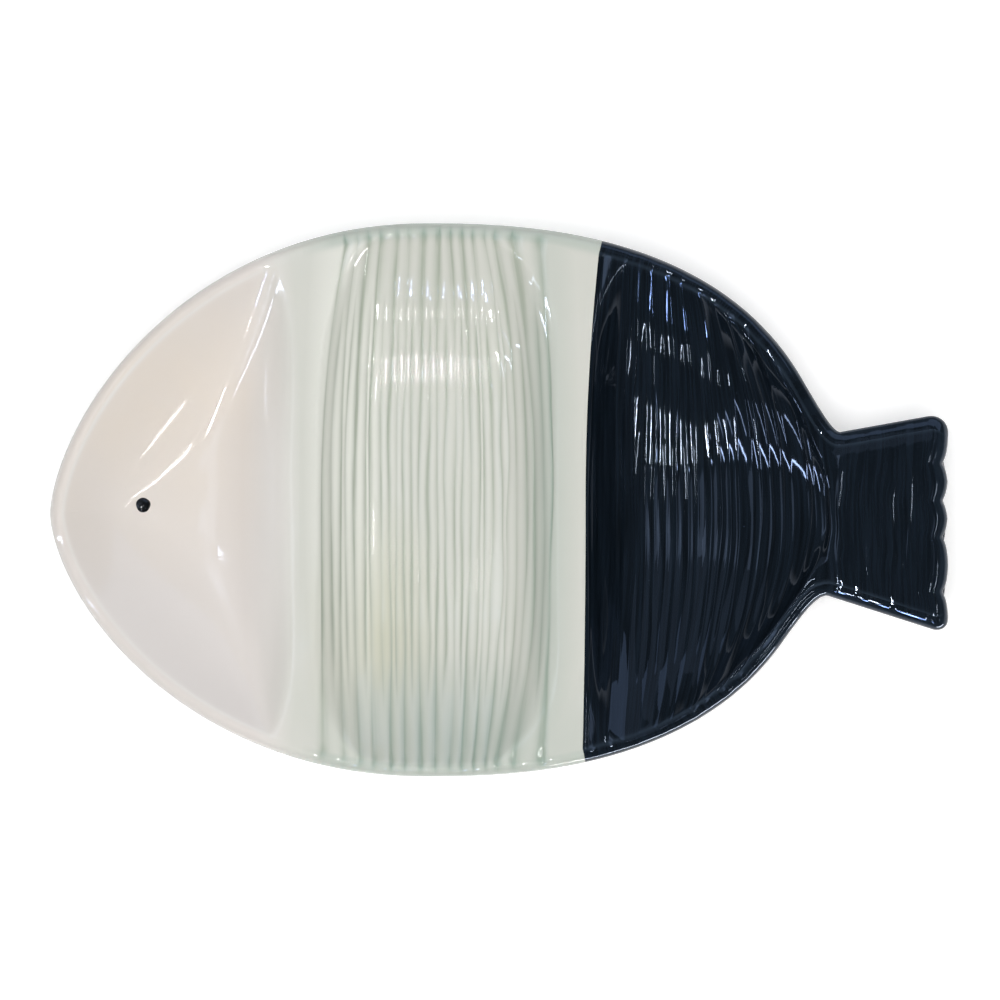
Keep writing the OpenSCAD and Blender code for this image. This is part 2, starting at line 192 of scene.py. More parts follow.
def rail(columns, side):
    """Edge, inward direction and middle of each column of the skin, on one side."""
    x, q = columns[side], columns["q"]
    before, after = np.maximum(NOSE, x - SLOPE_STEP), x + SLOPE_STEP
    slope = (half_width(after, side) - half_width(before, side)) / (after - before)
    level = ease(WAIST, TAIL, x)
    size = np.hypot(1, slope)
    square = np.stack([slope / size * (1 - level), -side * ((1 - level) / size + level)])
    edge = np.stack([x, side * half_width(x, side)])
    middle = np.stack([q, middle_line(q)])
    straight = (middle - edge) / np.hypot(*(middle - edge))
    inward = mix(straight, square, ease(EYE, NECK, q))
    inward = inward / np.maximum(LEAST_LEAN, (inward * square).sum(0))
    inward = np.where(q == EYE, straight, inward)
    crest = edge + inward * RIM_WIDTH
    length = np.hypot(*(crest - middle))
    run = soft_min(WALL_RUN, WALL_SHARE * length, RUN_BLEND)
    run = mix(run, soft_min(REAR_WALL_RUN, length, RUN_BLEND), ease(HIP, REAR, q))
    return edge, inward, middle, crest, length, run


def along(middle, end, share, bend):
    return np.stack([middle[0] + (end[0] - middle[0]) * share ** bend, mix(middle[1], end[1], share)])


# What the glazes read from the skin: where it pools in a groove, where it runs thin over an edge (the navy also
# paints a sheen there), the band of the rim, and the place across the comb's strokes.
MARKS = ("pool", "thin", "rim", "across")


def skin(columns, plan, inset=0, sink=0):
    """Points of the skin in millimetres, and the four MARKS of the glaze at each of them."""
    q, bend = columns["q"], columns["bend"]
    rails = {side: rail(columns, side) for side in (1, -1)}
    turn = math.radians(UNDER_TURN)
    low_in, low_z = UNDER_ROUND * (1 - math.cos(turn)), EDGE_Z - UNDER_ROUND * math.sin(turn)
    points, marks = [], []
    for side, zone, share in plan:
        edge, inward, middle, crest, length, run = rails[side]
        pool, thin = np.zeros_like(q), np.zeros_like(q)
        if zone in ("bowl", "rim"):
            if zone == "bowl":
                inside = RIM_WIDTH + (1 - share) * length
                xy = along(middle, crest, share, bend)
                way = share
            else:
                inside = mix(rim_round(q), RIM_WIDTH, share)
                xy = edge + inward * (inside + inset)
                way = 1
            xy[0] += sway(columns, side * way)
            edge_near = 1 - (inside - RIM_WIDTH) / run
            z = top_height(q, xy[0], inside, edge_near, side)
            cut, pool = comb_marks(columns, side * way, inside)
            thin = np.exp(-((inside - THIN_PLACE) / THIN_WIDTH) ** 2)
            z = z - cut + hand(xy) * ease(RIM_ROUND, HAND_RUN, inside) - sink
        elif zone == "lip":
            angle = math.radians(share)
            upper = angle > 0
            inside = (rim_round(q) if upper else np.full_like(q, UNDER_ROUND)) * (1 - math.cos(angle))
            xy = edge + inward * (inside + inset)
            xy[0] += sway(columns, side) * max(0, math.sin(angle))
            rise = EDGE_DROP - roll(q, inside, side) if upper else np.full_like(q, UNDER_ROUND)
            z = EDGE_Z + rise * math.sin(angle) - sink * upper
            if upper:
                cut, pool = comb_marks(columns, side, inside)
                z = z - cut * math.sin(angle) ** 2
            thin = np.full_like(q, max(0, math.cos(angle)) ** 2)
        else:
            low_edge = edge + inward * (low_in + inset)
            reach = np.hypot(*(low_edge - middle))
            run = mix(UNDER_RUN, FIN_UNDER_RUN, ease(LINE_CLOSE, FIN, q))
            run = soft_min(run, WALL_SHARE * reach, UNDER_BLEND * run / UNDER_RUN)
            ahead = np.clip((LINE_OPEN + LINE_TURN - q) / LINE_TURN, 0, 1)
            behind = np.clip((q - LINE_CLOSE + LINE_TURN) / LINE_TURN, 0, 1)
            line = (1 - GLAZE_LINE * run / reach) * np.sqrt((1 - ahead ** 2) * (1 - behind ** 2))
            line = line * (1 + wiped(q, side))
            g = mix(line, 1, share) if zone == "under" else line * share
            xy = along(middle, low_edge, g, bend)
            edge_near = np.clip(1 - (1 - g) * reach / run, 0, 1)
            fin_near = np.clip(1 - (FIN - q) / BASE_RISE, 0, 1)
            base = mix(FOOT_HEIGHT + nose_rise(xy[0]), FIN_UNDER, fin_near ** 2)
            z = mix(base, low_z, edge_near ** UNDER_CURVE)
            if zone == "under":
                z = z - (GLAZE if sink == 0 else -CLAY_TUCK) * (1 - edge_near ** GLAZE_FADE)
            inside = (1 - g) * reach
        end = ease(TAIL - NOTCH_RUN, TAIL, xy[0])
        x = xy[0] - end * (notches(xy[1]) + inset)
        over = np.clip((q - TAIL + LIP_END) / LIP_END, 0, 1) * LIP_SHUT
        z = EDGE_Z + (z - EDGE_Z) * np.sqrt(1 - over ** 2)
        points.append(np.stack([x, xy[1], z], 1))
        band = 1 - ease(RIM_WIDTH - RIM_BAND_SOFT, RIM_WIDTH + RIM_BAND_SOFT, inside)
        marks.append(np.stack([pool, np.maximum(thin, over), band, q * MM], 1))
    return np.stack(points, 1), np.stack(marks, 1)


HAND_SWELL, HAND_RIPPLE, HAND_RUN = 0.10, 0.06, 20


def hand(xy):
    """Slow unevenness of the hand-pressed clay, in millimetres."""
    x, y = xy
    swell = np.sin(x / 13 + 0.6 * np.sin(y / 17)) * np.sin(y / 11 + 1.3)
    return HAND_SWELL * swell + HAND_RIPPLE * np.sin(x / 6.1 - y / 8.3)


def wiped(q, side):
    """Waver of the glaze line on the underside, wiped by hand, as a share of its distance from the middle."""
    return 0.012 * np.sin(q / 7.1 + side) + 0.01 * np.sin(q / 3.3 + 2 * side)


# Every second stroke of the comb runs out between these shares of the way up the wall, and the others bite
# deeper where they start on the crest. A stroke wavers in depth, and fades out over the rim.
SHORT_STROKE, CREST_BITE, BITE_IN_BOWL, WAVER = (0.55, 0.85), 0.9, 3, 0.3
RIM_FADE, FULL_COMB = (0.2, 3.4), 14


def comb_marks(columns, way, inside):
    """Depth of the comb's grooves, and how strongly the glaze pools in them."""
    if "groove" not in columns:
        return np.zeros_like(columns["q"]), np.zeros_like(columns["q"])
    groove, long_one = columns["groove"], columns["long_one"]
    up = ease(*SHORT_STROKE, np.abs(way))
    strength = columns["strength"] + WAVER * np.sin(columns["phase"] + way * columns["beat"])
    strength = mix(strength[groove], strength[long_one], up) * columns["combed"]
    fade = mix(columns["on_rim"], 1, ease(rim_round(columns["q"]), FULL_COMB, inside)) * ease(*RIM_FADE, inside)
    bite_width = np.where(inside < RIM_WIDTH, columns["bite"], BITE_IN_BOWL)
    fade = fade + CREST_BITE * np.exp(-((inside - RIM_WIDTH) / bite_width) ** 2)
    valley = mix((1 - 2 * columns["off"]) ** columns["width"][groove], (1 - columns["off_long"]) ** 2, up)
    return columns["depth"] * strength * fade * valley, valley * strength * fade


def sway(columns, way):
    """Sideways wander of the comb's strokes, in millimetres: a slow bend and a quicker one half its size."""
    if "sway" not in columns:
        return 0
    size, beat, phase = columns["sway"]
    lines = size * (np.sin(beat * way + phase) + 0.5 * np.sin(2.3 * beat * way + 2 * phase))
    before = np.clip(np.floor(columns["cell"]).astype(int), 0, len(size) - 2)
    return mix(lines[before], lines[before + 1], columns["cell"] - before) * columns["combed"]


UNDER_ROWS, LIP_ROWS, RIM_ROWS, CREST_PACKING = 9, 11, 7, 1.35


def half_plan(side, bowl_rows, base_rows=0):
    """Rows of the skin from the underside over the edge and the rim to the middle of the bowl."""
    rows = [("base", share) for share in np.linspace(0, 1, base_rows, endpoint=False)]
    rows += [("under", share) for share in np.linspace(0, 1, UNDER_ROWS, endpoint=False)]
    rows += [("lip", angle) for angle in np.linspace(-UNDER_TURN, 90, LIP_ROWS)]
    rows += [("rim", share) for share in np.linspace(0, 1, RIM_ROWS)[1:-1]]
    rows += [("bowl", 1 - t ** CREST_PACKING) for t in np.linspace(0, 1, bowl_rows)]
    return [(side, zone, share) for zone, share in rows]


def full_plan(bowl_rows, base_rows=0):
    return half_plan(-1, bowl_rows, base_rows) + half_plan(1, bowl_rows, base_rows)[-2::-1]


def head_columns(shares):
    """Columns that fan out round the eye, so that the rows follow the rim of the head."""
    q = mix(EYE, NECK, shares ** 2)
    x = mix(NOSE, NECK, shares ** 2)
    return {"q": q, 1: x, -1: x, "bend": 1 + np.clip((q - EYE) / (NECK - EYE), 0, 1)}


def join_columns(*parts):
    keys = ["q", 1, -1, "bend"]
    return {key: np.concatenate([part[key] for part in parts]) for key in keys}


def divider_columns(start, end, count, lean=0):
    q = np.linspace(start, end, count)
    return {"q": q, 1: q + lean * np.linspace(0, 1, count), -1: q, "bend": np.full(count, 2.0)}


LAG, LAG_GROWTH, LAG_CLOSE = 22, 1.3, 14


def rear_edges(t):
    """The rear bowl's grooves lie like brackets: they lag behind at the rim, more so towards the fin."""
    q = mix(REAR, RIDGE, t)
    lag = LAG * t ** LAG_GROWTH * (1 - t ** LAG_CLOSE)
    return {"q": q, 1: q - lag + HIP_LEAN * (1 - t) + RIDGE_WIDTH / 2 * t, -1: q - lag,
            "bend": np.full_like(q, 2.0)}


def fin_columns(q):
    t = (q - FIN) / (TAIL - FIN)
    return {"q": q, 1: q + RIDGE_WIDTH / 2 * (1 - t) ** 2 * (t < 1), -1: q, "bend": np.full_like(q, 2.0)}


MERGE, EDGE_SLACK = 0.004 * MM, 0.001 * MM


def open_edges(bm, verts):
    return [edge for edge in bm.edges if edge.is_boundary and all(vert in verts for vert in edge.verts)]


def close_end(bm, tail_verts):
    """Joins the top of the fin to its underside along the end, so that the notches stay open."""
    loop = open_edges(bm, tail_verts)
    above = [edge for edge in loop if min(vert.co.z for vert in edge.verts) > EDGE_Z * MM + EDGE_SLACK]
    below = [edge for edge in loop if max(vert.co.z for vert in edge.verts) < EDGE_Z * MM - EDGE_SLACK]
    joined = bmesh.ops.bridge_loops(bm, edges=above + below)["faces"]
    joined += bmesh.ops.holes_fill(bm, edges=open_edges(bm, tail_verts), sides=0)["faces"]
    bm.normal_update()
    bmesh.ops.reverse_faces(bm, faces=[face for face in joined if face.normal.x < 0])


def skin_mesh(name, columns, plan, inset=0, sink=0, close_tail=False):
    """One grid of faces moved onto the platter's skin, with the pooling and thinning of the glaze on it."""
    points, marks = skin(columns, plan, inset, sink)
    across, down = len(columns["q"]) - 1, len(plan) - 1
    bm = bmesh.new()
    bmesh.ops.create_grid(bm, x_segments=across, y_segments=down, size=1)
    for edge in bm.edges:
        edge.smooth = not edge.is_boundary
    tail_verts = [vert for vert in bm.verts if vert.co.x > 1 - 0.5 / across]
    layers = [bm.verts.layers.float.new(mark_name) for mark_name in MARKS]
    for vert in bm.verts:
        i = round((vert.co.x + 1) / 2 * across)
        j = round((vert.co.y + 1) / 2 * down)
        vert.co = points[i, j] * MM
        for layer, mark in zip(layers, marks[i, j]):
            vert[layer] = mark
    bmesh.ops.remove_doubles(bm, verts=bm.verts, dist=MERGE)
    if close_tail:
        close_end(bm, {vert for vert in tail_verts if vert.is_valid})
    mesh = bpy.data.meshes.new(name)
    bm.to_mesh(mesh)
    bm.free()
    mesh.shade_smooth()
    return mesh


def place(mesh, material, node, slot, thickness=0):
    """Puts a finished mesh into the scene in the place of its CAD node."""
    piece = bpy.data.objects.new(mesh.name, mesh)
    bpy.context.scene.collection.objects.link(piece)
    mesh.materials.append(material)
    if thickness:
        coat = piece.modifiers.new("coat", "SOLIDIFY")
        coat.thickness = thickness * MM
        coat.offset = -1
    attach(piece, "root")
    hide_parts(node)
    return piece


def colour(hex_code):
    """sRGB hex to the linear values that the shader takes."""
    parts = [int(hex_code[i:i + 2], 16) / 255 for i in (1, 3, 5)]
    return [p / 12.92 if p <= 0.04045 else ((p + 0.055) / 1.055) ** 2.4 for p in parts] + [1]


def add(tree, kind, inputs=None, **settings):
    """Adds a node with its settings. An input is a value, or the output of another node."""
    node = tree.nodes.new("ShaderNode" + kind)
    for name, value in settings.items():
        setattr(node, name, value)
    for name, value in (inputs or {}).items():
        if isinstance(value, bpy.types.NodeSocket):
            tree.links.new(value, node.inputs[name])
        else:
            node.inputs[name].default_value = value
    return node


def new_material(name):
    """A new material, its nodes, its shader, and the place on the piece."""
    material = bpy.data.materials.new(name)
    material.use_nodes = True
    tree = material.node_tree
    return material, tree, tree.nodes["Principled BSDF"], add(tree, "TexCoord").outputs["Object"]


# Sockets of a Mix node that mixes colours.
FACTOR, FIRST, SECOND, RESULT = 0, 6, 7, 2


def stoneware():
    """Cream stoneware under a thin clear glaze: warm, a little uneven, with fine iron specks."""
    material, tree, shader, place_at = new_material("clear_glazed_stoneware")
    cloud = add(tree, "TexNoise", {"Vector": place_at, "Scale": 1 / (25 * MM), "Detail": 4})
    grain = add(tree, "TexNoise", {"Vector": place_at, "Scale": 1 / (0.9 * MM), "Detail": 3})
    tone = add(tree, "Mix", {FACTOR: cloud.outputs["Fac"], FIRST: colour("#C9BCA4"),
                             SECOND: colour("#D8CFBC")}, data_type="RGBA")
    speck = add(tree, "TexVoronoi", {"Vector": place_at, "Scale": 1 / (5 * MM)})
    dot = add(tree, "MapRange", {"Value": speck.outputs["Distance"], "From Min": 0.06, "From Max": 0.1,
                                 "To Min": 0.8, "To Max": 0})
    speckled = add(tree, "Mix", {FACTOR: dot.outputs[0], FIRST: tone.outputs[RESULT],
                                 SECOND: colour("#6E5A44")}, data_type="RGBA")
    bump = add(tree, "Bump", {"Height": grain.outputs["Fac"], "Distance": 0.05 * MM, "Strength": 0.6})
    rough = add(tree, "MapRange", {"Value": cloud.outputs["Fac"], "To Min": 0.28, "To Max": 0.5})
    tree.links.new(speckled.outputs[RESULT], shader.inputs["Base Color"])
    tree.links.new(rough.outputs[0], shader.inputs["Roughness"])
    tree.links.new(bump.outputs["Normal"], shader.inputs["Normal"])
    return material


clay_columns = join_columns(
    head_columns(np.linspace(0, 1, 36)),
    divider_columns(NECK + 1, MIDDLE, 5),
    divider_columns(MIDDLE + 3, HIP - 3, 30),
    divider_columns(HIP, REAR, 6, HIP_LEAN),
    rear_edges(np.linspace(0.03, 1, 34)),
    fin_columns(np.linspace(WAIST, TAIL - LIP_END, 14)),
    fin_columns(TAIL - LIP_END * np.array([0.6, 0.3, 0.1, 0])))
clay_mesh = skin_mesh("pressed_clay_body", clay_columns, full_plan(16, 14), CLAY_INSET, CLAY_SINK,
                      close_tail=True)
place(clay_mesh, stoneware(), "clay_body", "stoneware")


# Foot ring: an oval ring of the same clay, turned on under the base and wiped clean of glaze so that it
# doesn't stick to the kiln shelf. It is bare, sandy and matte, with its edges rounded by hand.
foot_low, foot_high = (np.array(corner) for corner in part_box("foot_ring"))
FOOT_BAND, FOOT_EDGE, FOOT_JOIN = 6 * MM, 0.9 * MM, 0.2 * MM


def bare_clay():
    """Unglazed fired clay: matte, sandy and clouded from tan to buff."""
    material, tree, shader, place_at = new_material("bare_fired_clay")
    cloud = add(tree, "TexNoise", {"Vector": place_at, "Scale": 1 / (9 * MM), "Detail": 5})
    grit = add(tree, "TexVoronoi", {"Vector": place_at, "Scale": 1 / (0.8 * MM)})
    tone = add(tree, "Mix", {FACTOR: cloud.outputs["Fac"], FIRST: colour("#A88F70"),
                             SECOND: colour("#CDB795")}, data_type="RGBA")
    grain = add(tree, "Mix", {FACTOR: 0.25, FIRST: tone.outputs[RESULT], SECOND: grit.outputs["Color"]},
                data_type="RGBA", blend_type="SOFT_LIGHT")
    bump = add(tree, "Bump", {"Height": grit.outputs["Distance"], "Distance": 0.15 * MM, "Strength": 0.7})
    shader.inputs["Roughness"].default_value = 0.92
    tree.links.new(grain.outputs[RESULT], shader.inputs["Base Color"])
    tree.links.new(bump.outputs["Normal"], shader.inputs["Normal"])
    return material


bm = bmesh.new()
bmesh.ops.create_circle(bm, segments=160, radius=1)
foot_size = (foot_high - foot_low) / 2
foot_middle = (foot_high + foot_low) / 2
for vert in bm.verts:
    vert.co = (foot_middle[0] + foot_size[0] * vert.co.x, foot_middle[1] + foot_size[1] * vert.co.y, 0)
inner = bmesh.ops.extrude_edge_only(bm, edges=bm.edges[:])
for vert in (item for item in inner["geom"] if isinstance(item, bmesh.types.BMVert)):
    vert.co.x = foot_middle[0] + (vert.co.x - foot_middle[0]) * (1 - FOOT_BAND / foot_size[0])
    vert.co.y = foot_middle[1] + (vert.co.y - foot_middle[1]) * (1 - FOOT_BAND / foot_size[1])
raised = bmesh.ops.extrude_face_region(bm, geom=bm.faces[:])
lifted = [item for item in raised["geom"] if isinstance(item, bmesh.types.BMVert)]
bmesh.ops.translate(bm, verts=lifted, vec=(0, 0, foot_high[2] + FOOT_JOIN))
bmesh.ops.recalc_face_normals(bm, faces=bm.faces)
lowest = [edge for edge in bm.edges if max(vert.co.z for vert in edge.verts) < MM]
worn = [edge for edge in lowest if edge.calc_face_angle(0) > 1]
bmesh.ops.bevel(bm, geom=worn, offset=FOOT_EDGE, affect="EDGES", segments=4, profile=0.5, material=-1)
foot_mesh = bpy.data.meshes.new("bare_foot_ring")
bm.to_mesh(foot_mesh)
bm.free()
foot_mesh.shade_smooth()
foot_mesh.set_sharp_from_angle(angle=math.radians(50))
place(foot_mesh, bare_clay(), "foot_ring", "bare_foot")


# White glaze of the head: poured over the smooth bowl of the head and down its outside. It is glossy and milky,
# creamier where it is thin over the clay, and it turns to celadon softly across the neck divider. A paler white
# on the neck's wall is painted light that lifts the shade there.
WHITE, CREAM, RIM_WHITE, PAINTED_LIGHT_WHITE = "#E1DCD8", "#E5DCD1", "#E6E3DF", "#EAE8E5"
LANDS, CLOUDED_LANDS = "#D4D7CF", "#D9DAD4"
HEAD_END = NECK + 4.5

# Where the white turns to celadon, how far that line wanders, and two patches, a cream stain and a painted
# light on the neck's wall: their middle in x and y and their reach across and down, in millimetres.
TURN_START, TURN_END, TURN_WANDER = NECK - 16, NECK + 4, 4
CREAM_BLOOM, PAINTED_LIGHT_NECK = (-140, 40, 90, 80), (-96, 0, 13, 130)


def glaze_surface(tree, place_at, drawn=None, relief=0):
    """Slow ripple of a melted glaze over the clay and what is drawn in it, with fine pinholes, as a bump."""
    wave = add(tree, "TexNoise", {"Vector": place_at, "Scale": 1 / (9 * MM), "Detail": 2})
    pit = add(tree, "TexVoronoi", {"Vector": place_at, "Scale": 1 / (7 * MM)})
    hole = add(tree, "MapRange", {"Value": pit.outputs["Distance"], "From Min": 0.02, "From Max": 0.06})
    slow = add(tree, "Bump", {"Height": wave.outputs["Fac"], "Distance": 0.03 * MM, "Strength": 1})
    if drawn:
        band = add(tree, "Attribute", attribute_name="rim")
        bare = add(tree, "Math", {0: 1, 1: band.outputs["Fac"]}, operation="SUBTRACT")
        lines = add(tree, "Bump", {"Height": drawn, "Distance": relief * MM, "Strength": bare.outputs[0]})
        tree.links.new(lines.outputs["Normal"], slow.inputs["Normal"])
    return add(tree, "Bump", {"Height": hole.outputs[0], "Distance": 0.08 * MM, "Strength": 0.5,
                              "Normal": slow.outputs["Normal"]})


def stain(tree, place_at, x, y, across, down):
    """Soft oval patch, 1 in its middle and 0 outside, placed in millimetres on the platter."""
    spot = add(tree, "Mapping", {"Vector": place_at, "Location": (-x / across, -y / down, 0),
                                 "Scale": (1 / (across * MM), 1 / (down * MM), 0)})
    return add(tree, "TexGradient", {"Vector": spot.outputs[0]}, gradient_type="SPHERICAL").outputs["Fac"]


def celadon_lands(tree, place_at):
    """Pale grey-green of the celadon where it lies thin, clouded at the size of a brush mark."""
    cloud = add(tree, "TexNoise", {"Vector": place_at, "Scale": 1 / (22 * MM), "Detail": 4})
    return add(tree, "Mix", {FACTOR: cloud.outputs["Fac"], FIRST: colour(LANDS),
                             SECOND: colour(CLOUDED_LANDS)}, data_type="RGBA").outputs[RESULT]


def white_glaze():
    """Milky tin-white glaze: glossy, with a cream bloom, painted lighter on the neck's wall to lift its shade,
    then turning to celadon.
    """
    material, tree, shader, place_at = new_material("white_tin_glaze")
    cloud = add(tree, "TexNoise", {"Vector": place_at, "Scale": 1 / (35 * MM), "Detail": 3})
    patchy = add(tree, "MapRange", {"Value": cloud.outputs["Fac"], "From Min": 0.3, "From Max": 0.7,
                                    "To Min": 0.5, "To Max": 1})
    warm = add(tree, "Math", {0: stain(tree, place_at, *CREAM_BLOOM), 1: patchy.outputs[0]},
               operation="MULTIPLY")
    body = add(tree, "Mix", {FACTOR: warm.outputs[0], FIRST: colour(WHITE), SECOND: colour(CREAM)},
               data_type="RGBA")
    thin = add(tree, "Attribute", attribute_name="thin")
    rim = add(tree, "Mix", {FACTOR: thin.outputs["Fac"], FIRST: body.outputs[RESULT],
                            SECOND: colour(RIM_WHITE)}, data_type="RGBA")
    where = add(tree, "SeparateXYZ", {0: place_at})
    drift = add(tree, "TexNoise", {"Vector": place_at, "Scale": 1 / (14 * MM), "Detail": 4})
    wander = add(tree, "MapRange", {"Value": drift.outputs["Fac"], "To Min": -TURN_WANDER * MM,
                                    "To Max": TURN_WANDER * MM})
    across = add(tree, "Math", {0: where.outputs["X"], 1: wander.outputs[0]}, operation="ADD")
    turn = add(tree, "MapRange", {"Value": across.outputs[0], "From Min": TURN_START * MM,
                                  "From Max": TURN_END * MM}, interpolation_type="SMOOTHSTEP")
    green = add(tree, "Mix", {FACTOR: turn.outputs[0], FIRST: rim.outputs[RESULT],
                              SECOND: celadon_lands(tree, place_at)}, data_type="RGBA")
    # Painted light: a paler white over the neck's wall, lifting the shade that falls there.
    painted_light = add(tree, "Mix", {FACTOR: stain(tree, place_at, *PAINTED_LIGHT_NECK), FIRST: green.outputs[RESULT],
                             SECOND: colour(PAINTED_LIGHT_WHITE)}, data_type="RGBA")
    tree.links.new(painted_light.outputs[RESULT], shader.inputs["Base Color"])
    tree.links.new(glaze_surface(tree, place_at).outputs["Normal"], shader.inputs["Normal"])
    shader.inputs["Roughness"].default_value = 0.07
    return material


head_part = join_columns(head_columns(np.linspace(0, 1, 121)), divider_columns(NECK + 0.4, HEAD_END, 11))
head_mesh = skin_mesh("head_white_glaze", head_part, full_plan(34))
place(head_mesh, white_glaze(), "head_glaze", "white_glaze", GLAZE)


# Celadon glaze of the middle bowl: the wet clay was combed with a toothed tool from rim to rim, and the
# grey-green glaze pools in the grooves and runs thin over the lands between them.
MIDDLE_GROOVES, MIDDLE_JITTER, MIDDLE_COMB, MIDDLE_ON_RIM, MIDDLE_BITE = 29, 0.28, 0.36, 0.45, 3
MIDDLE_BEND, NECK_COLUMNS, HIP_COLUMNS = 2.5, 14, 22
NECK_LEAN = {1: 9, -1: -4}
SWEEP = {1: (0, 13), -1: (6, 12)}
rng = np.random.default_rng(7)

# Colours of the celadon, its stains and a painted light, as on the white glaze: khaki on the left of the floor,
# a pale painted light on the left wall that lifts its shade, teal on the right wall and along the belly, and
# deeper where it pools in the grooves.
KHAKI, PAINTED_LIGHT_CELADON, TEAL, POOL, TEAL_POOL = "#CDCEBC", "#F6F8F1", "#C3CBC3", "#B2BAAD", "#9EAFA4"
KHAKI_FLOOR, LEFT_WALL_PAINTED_LIGHT = (-52, -58, 32, 64), (-65, 15, 18, 150)
TEAL_WALL, TEAL_BELLY, TEAL_START = (21.5, -20, 13, 220), (-12, -104, 92, 40), 14


def combed_cells(start, end, count, jitter):
    """Columns packed round each groove of the comb, which aren't quite evenly spaced."""
    pitch = (end - start) / count
    centres = start + (np.arange(count) + 0.5 + rng.uniform(-jitter, jitter, count)) * pitch
    stops = np.concatenate([[start], centres, [end]])
    inside = np.arange(-5, 5) / 10
    cell = (np.arange(1, count + 1)[:, None] + inside[None, :]).ravel()
    cell = np.concatenate([np.linspace(0, 0.5, 4)[:-1], cell, np.linspace(count + 0.5, count + 1, 4)])
    return np.interp(cell, np.arange(count + 2), stops), cell


def comb(columns, cell, depth, on_rim, bite, before=0, after=0):
    """Adds the comb's strokes to a set of columns, with plain columns before and after them."""
    count = int(cell[-1]) - 1
    groove = np.clip(np.rint(cell).astype(int), 1, count)
    long_one = np.clip(2 * np.floor(cell / 2).astype(int) + 1, 1, count)
    padded = {"cell": cell, "groove": groove, "off": np.clip(np.abs(cell - groove), 0, 0.5),
              "long_one": long_one, "off_long": np.clip(np.abs(cell - long_one), 0, 1),
              "combed": np.ones(len(cell))}
    for key, values in padded.items():
        columns[key] = np.concatenate([np.zeros(before), values, np.zeros(after)]).astype(values.dtype)
    columns["depth"], columns["on_rim"], columns["bite"] = depth, on_rim, bite
    columns["strength"] = rng.uniform(0.7, 1.1, count + 2)
    columns["width"] = rng.uniform(1.7, 2.3, count + 2)
    columns["phase"] = rng.uniform(0, 2 * math.pi, count + 2)
    columns["beat"] = rng.uniform(1.5, 6, count + 2)
    size = rng.uniform(0.2, 0.55, count + 2)
    size[[0, -1]] = 0
    columns["sway"] = size, rng.uniform(2, 7, count + 2), rng.uniform(0, 2 * math.pi, count + 2)


def streaks(tree, place_at, width, length):
    """Fine streaks left by the comb, that follow its strokes: noise stretched along them."""
    across = add(tree, "Attribute", attribute_name="across")
    where = add(tree, "SeparateXYZ", {0: place_at})
    way = add(tree, "CombineXYZ", {"X": across.outputs["Fac"], "Y": where.outputs["Y"]})
    drawn = add(tree, "Mapping", {"Vector": way.outputs[0],
                                  "Scale": (1 / (width * MM), 1 / (length * MM), 1)})
    return add(tree, "TexNoise", {"Vector": drawn.outputs[0], "Scale": 1, "Detail": 3}).outputs["Fac"]


def celadon_glaze():
    """Grey-green celadon: pale on the lands, deeper where it pools, khaki on the left with painted light on the
    left wall, teal on the right.
    """
    material, tree, shader, place_at = new_material("celadon_glaze")
    where = add(tree, "SeparateXYZ", {0: place_at})
    begun = add(tree, "MapRange", {"Value": where.outputs["X"], "From Min": HEAD_END * MM,
                                   "From Max": (HEAD_END + TEAL_START) * MM})
    khaki = add(tree, "Mix", {FACTOR: stain(tree, place_at, *KHAKI_FLOOR),
                              FIRST: celadon_lands(tree, place_at), SECOND: colour(KHAKI)}, data_type="RGBA")
    # Painted light: a near-white celadon over the left wall of the bowl, lifting the shade that falls there.
    painted_light = add(tree, "Mix", {FACTOR: stain(tree, place_at, *LEFT_WALL_PAINTED_LIGHT),
                             FIRST: khaki.outputs[RESULT], SECOND: colour(PAINTED_LIGHT_CELADON)}, data_type="RGBA")
    teal = add(tree, "Math", {0: stain(tree, place_at, *TEAL_WALL),
                              1: stain(tree, place_at, *TEAL_BELLY)}, operation="MAXIMUM")
    band = add(tree, "Attribute", attribute_name="rim")
    teal = add(tree, "Math", {0: teal.outputs[0], 1: band.outputs["Fac"]}, operation="MAXIMUM")
    teal = add(tree, "Math", {0: teal.outputs[0], 1: begun.outputs[0]}, operation="MULTIPLY")
    wall = add(tree, "Mix", {FACTOR: teal.outputs[0], FIRST: painted_light.outputs[RESULT],
                             SECOND: colour(TEAL)}, data_type="RGBA")
    deep = add(tree, "Mix", {FACTOR: teal.outputs[0], FIRST: colour(POOL), SECOND: colour(TEAL_POOL)},
               data_type="RGBA")
    pool = add(tree, "Attribute", attribute_name="pool")
    drawn = streaks(tree, place_at, 1.1, 30)
    lines = add(tree, "MapRange", {"Value": drawn, "From Min": 0.3, "From Max": 0.7,
                                   "To Min": 0.7, "To Max": 1.3})
    depth = add(tree, "Math", {0: pool.outputs["Fac"], 1: lines.outputs[0]},
                operation="MULTIPLY", use_clamp=True)
    pooled = add(tree, "Mix", {FACTOR: depth.outputs[0], FIRST: wall.outputs[RESULT],
                               SECOND: deep.outputs[RESULT]}, data_type="RGBA")
    tree.links.new(pooled.outputs[RESULT], shader.inputs["Base Color"])
    tree.links.new(glaze_surface(tree, place_at, drawn, 0.004).outputs["Normal"], shader.inputs["Normal"])
    shader.inputs["Roughness"].default_value = 0.045
    return material


q, cell = combed_cells(MIDDLE + 0.4, HIP - 0.4, MIDDLE_GROOVES, MIDDLE_JITTER)

